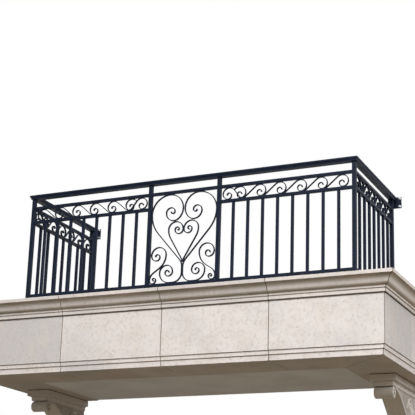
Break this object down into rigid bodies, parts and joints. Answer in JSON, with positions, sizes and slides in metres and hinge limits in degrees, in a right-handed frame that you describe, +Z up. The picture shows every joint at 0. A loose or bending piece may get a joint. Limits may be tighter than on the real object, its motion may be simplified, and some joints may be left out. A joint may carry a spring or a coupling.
{
  "type": "juliet balcony",
  "caption": "Projecting stone balcony base on scroll consoles, with a wrought iron railing whose middle panel is a heart of scrolls.",
  "frame": {"origin": "on the flat back of the slab at the wall, at the middle of the width and at half the height of the stone base", "axes": "+X along the wall, +Y into the wall, +Z up; the front of the balcony faces -Y"},
  "size_m": [3.39, 1.36, 2.0102],
  "materials": {
    "limestone": "dressed, fine pits",
    "concrete": "smooth",
    "plaster": "matte",
    "black_iron": "satin"
  },
  "bodies": {
    "root": {"deck_slab": "concrete", "soffit_panel": "plaster", "cornice_front": "limestone", "cornice_left": "limestone", "cornice_right": "limestone", "fascia_front": "limestone", "fascia_left": "limestone", "fascia_right": "limestone", "steps_front": "limestone", "steps_left": "limestone", "steps_right": "limestone", "console_left": "limestone", "console_right": "limestone", "console_cap_left": "limestone", "console_cap_right": "limestone", "corner_post_left": "black_iron", "corner_post_right": "black_iron", "heart_post_left": "black_iron", "heart_post_right": "black_iron", "end_post_left": "black_iron", "end_post_right": "black_iron", "handrail_front": "black_iron", "handrail_left": "black_iron", "handrail_right": "black_iron", "wall_bracket_left": "black_iron", "wall_bracket_right": "black_iron", "rails_front_left": "black_iron", "rails_front_right": "black_iron", "rails_end_left": "black_iron", "rails_end_right": "black_iron", "rails_heart": "black_iron", "bars_front_left": "black_iron", "bars_front_right": "black_iron", "bars_end_left": "black_iron", "bars_end_right": "black_iron", "waves_front_left": "black_iron", "waves_front_right": "black_iron", "waves_end_left": "black_iron", "waves_end_right": "black_iron", "outer_heart": "black_iron", "inner_heart": "black_iron", "side_scrolls": "black_iron", "base_scrolls": "black_iron"}
  },
  "joints": []
}
